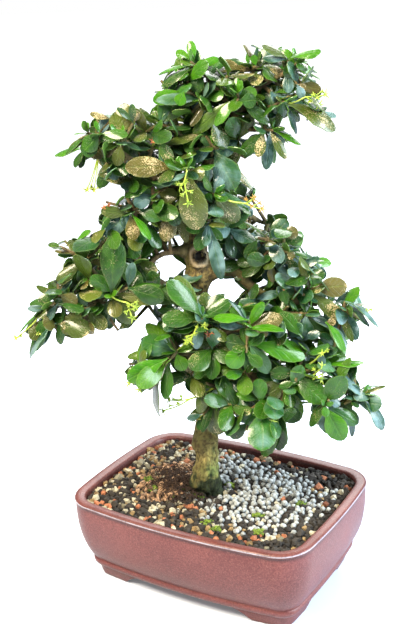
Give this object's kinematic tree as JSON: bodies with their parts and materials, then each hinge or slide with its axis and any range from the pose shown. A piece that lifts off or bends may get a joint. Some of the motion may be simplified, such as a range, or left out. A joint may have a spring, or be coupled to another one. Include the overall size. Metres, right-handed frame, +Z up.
{
  "type": "fukien tea bonsai in a pot",
  "caption": "Small bonsai tree with a tapering trunk, tiered sprays of glossy spoon-shaped leaves and calyx stars, in a shallow rectangular glazed pot of soil.",
  "frame": {"origin": "middle of the whole plant's bounding box, on the ground under the pot's feet", "axes": "+Z up; X along the pot's long side; Y along its short side; the tree's front looks about 31 degrees off -Y towards +X"},
  "size_m": [0.2498, 0.189, 0.4404],
  "materials": {
    "glazed_pot": "satin red-brown speckled glaze with bluish white highlights on the lip",
    "soil": "loose coarse bonsai soil of pumice, clay and peat grains",
    "pellets": "matt round grey-white pellets",
    "bark": "grey-brown bark, mossy and knobbly at the foot",
    "leaf": "glossy dark green, pebbled and leathery",
    "calyx": "soft yellow-green",
    "screen_mesh": "plain black"
  },
  "bodies": {
    "root": {"apex_left": "leaf", "apex_left_low": "leaf", "apex_mid": "leaf", "apex_right": "leaf", "apex_right_low": "leaf", "back_left": "leaf", "back_low": "leaf", "back_low_left": "leaf", "back_low_mid": "leaf", "back_right": "leaf", "back_top": "leaf", "crown_back": "leaf", "crown_front": "leaf", "crown_heart": "leaf", "crown_right": "leaf", "cyme_front": "calyx", "cyme_heart": "calyx", "cyme_long": "calyx", "cyme_low": "calyx", "cyme_low_left": "calyx", "cyme_low_right": "calyx", "cyme_mid": "calyx", "cyme_right": "calyx", "cyme_top": "calyx", "front_heart": "leaf", "front_rise": "leaf", "low_front": "leaf", "low_front_left": "leaf", "low_heart": "leaf", "low_left_back": "leaf", "low_left_heart": "leaf", "low_left_tip": "leaf", "low_left_top": "leaf", "low_right": "leaf", "low_right_mid": "leaf", "low_right_tip": "leaf", "mid_front": "leaf", "mid_front_right": "leaf", "mid_hanging": "leaf", "mid_left": "leaf", "mid_left_low": "leaf", "pellets": "pellets", "pot": "glazed_pot", "right_back": "leaf", "right_heart": "leaf", "right_low": "leaf", "right_mid": "leaf", "right_tip": "leaf", "right_top": "leaf", "screen_left": "screen_mesh", "screen_right": "screen_mesh", "soil": "soil", "thin_left": "leaf", "upper_left_back": "leaf", "upper_left_front": "leaf", "upper_left_high": "leaf", "upper_left_mid": "leaf", "upper_left_tip": "leaf", "wood": "bark"}
  },
  "joints": []
}
